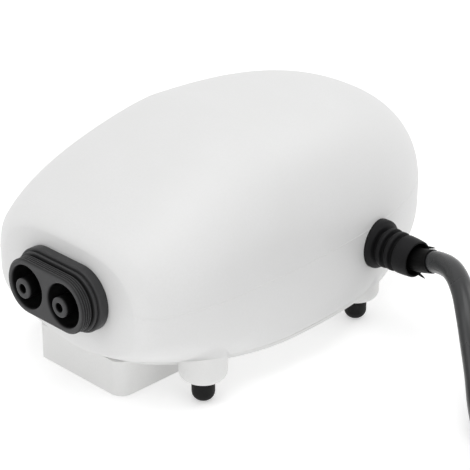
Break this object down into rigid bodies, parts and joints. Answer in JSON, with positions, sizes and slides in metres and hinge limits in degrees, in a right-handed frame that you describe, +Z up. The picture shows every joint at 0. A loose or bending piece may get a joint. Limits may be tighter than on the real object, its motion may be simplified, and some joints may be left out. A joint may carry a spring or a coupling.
{
  "type": "aquarium air pump",
  "caption": "Egg-shaped white aquarium air pump with side-by-side air nozzles, rubber feet, a ribbed cord grommet and a mains lead; magnet arms work rubber diaphragms inside.",
  "frame": {"origin": "on the floor under the middle of the body with its outlets, without the mains lead", "axes": "+Z up, +X to the side that the mains lead leaves, -Y the way the outlets face"},
  "size_m": [0.1859, 0.1349, 0.0575],
  "materials": {
    "housing_white": "injection moulded, fine satin",
    "base_white": "injection moulded, satin",
    "rubber_black": "moulded",
    "screw_steel": "zinc plated",
    "filter_foam": "open cell foam",
    "outlet_plastic": "moulded, satin",
    "hose_rubber": "moulded",
    "grommet_rubber": "moulded",
    "cord_pvc": "extruded sheath",
    "lamination_steel": "stamped and stacked",
    "bobbin_nylon": "moulded",
    "copper_wire": "enamelled copper",
    "terminal_brass": "drawn",
    "wire_insulation": "extruded",
    "inner_white": "moulded",
    "arm_plastic": "glass filled",
    "magnet_ferrite": "sintered ferrite",
    "tie_black": "moulded",
    "plug_plastic": "moulded",
    "plug_nickel": "nickel plated"
  },
  "bodies": {
    "root": {"housing": "housing_white", "base_plate": "base_white", "rubber_feet": "rubber_black", "base_screws": "screw_steel", "filter_cover": "base_white", "filter_pad": "filter_foam", "outlet_block": "outlet_plastic", "outlet_nozzles": "outlet_plastic", "air_hoses": "hose_rubber", "grommet": "grommet_rubber", "cord_tail": "cord_pvc", "cord_stop": "grommet_rubber", "core": "lamination_steel", "core_screws": "screw_steel", "bobbin": "bobbin_nylon", "winding": "copper_wire", "terminal_pins": "terminal_brass", "lead_wires": "wire_insulation", "pivot_pins": "screw_steel", "pivot_cap": "inner_white", "cap_screw": "screw_steel", "right_diaphragm": "hose_rubber", "right_clamp_ring": "inner_white", "right_valve_plate": "inner_white", "right_valve_box": "inner_white", "right_ring_screws": "screw_steel", "right_box_screws": "screw_steel", "left_diaphragm": "hose_rubber", "left_clamp_ring": "inner_white", "left_valve_plate": "inner_white", "left_valve_box": "inner_white", "left_ring_screws": "screw_steel", "left_box_screws": "screw_steel", "power_cord": "cord_pvc", "cord_coil": "cord_pvc", "cord_ties": "tie_black", "plug_lead": "cord_pvc", "mains_plug": "plug_plastic", "plug_pins": "plug_nickel"},
    "right_arm": {"right_arm": "arm_plastic", "right_magnet": "magnet_ferrite", "right_hub_washers": "screw_steel", "right_hub_screw": "screw_steel"},
    "right_inlet_flap": {"right_inlet_flap": "hose_rubber"},
    "right_outlet_flap": {"right_outlet_flap": "hose_rubber"},
    "left_arm": {"left_arm": "arm_plastic", "left_magnet": "magnet_ferrite", "left_hub_washers": "screw_steel", "left_hub_screw": "screw_steel"},
    "left_inlet_flap": {"left_inlet_flap": "hose_rubber"},
    "left_outlet_flap": {"left_outlet_flap": "hose_rubber"}
  },
  "joints": [
    {"name": "right_arm_swing", "type": "hinge", "parent": "root", "child": "right_arm", "pos_m": [0.00725, -0.028, 0.024], "axis": [0, 0, 1], "range_deg": [-2, 2], "stiffness_Nm_per_rad": 0.05, "deforming": ["right_diaphragm"]},
    {"name": "left_arm_swing", "type": "hinge", "parent": "root", "child": "left_arm", "pos_m": [-0.00725, -0.028, 0.024], "axis": [0, 0, 1], "range_deg": [-2, 2], "stiffness_Nm_per_rad": 0.05, "deforming": ["left_diaphragm"]},
    {"name": "right_inlet_flap_turn", "type": "hinge", "parent": "root", "child": "right_inlet_flap", "pos_m": [0.0164, -0.012, 0.0158], "axis": [0, -1, 0], "range_deg": [0, 10]},
    {"name": "right_outlet_flap_turn", "type": "hinge", "parent": "root", "child": "right_outlet_flap", "pos_m": [0.0181, -0.012, 0.0322], "axis": [0, -1, 0], "range_deg": [0, 10]},
    {"name": "left_inlet_flap_turn", "type": "hinge", "parent": "root", "child": "left_inlet_flap", "pos_m": [-0.0164, -0.012, 0.0158], "axis": [0, 1, 0], "range_deg": [0, 10]},
    {"name": "left_outlet_flap_turn", "type": "hinge", "parent": "root", "child": "left_outlet_flap", "pos_m": [-0.0181, -0.012, 0.0322], "axis": [0, 1, 0], "range_deg": [0, 10]}
  ],
  "couplings": [
    {"joint": "left_arm_swing", "follows": "right_arm_swing", "ratio": -1}
  ]
}
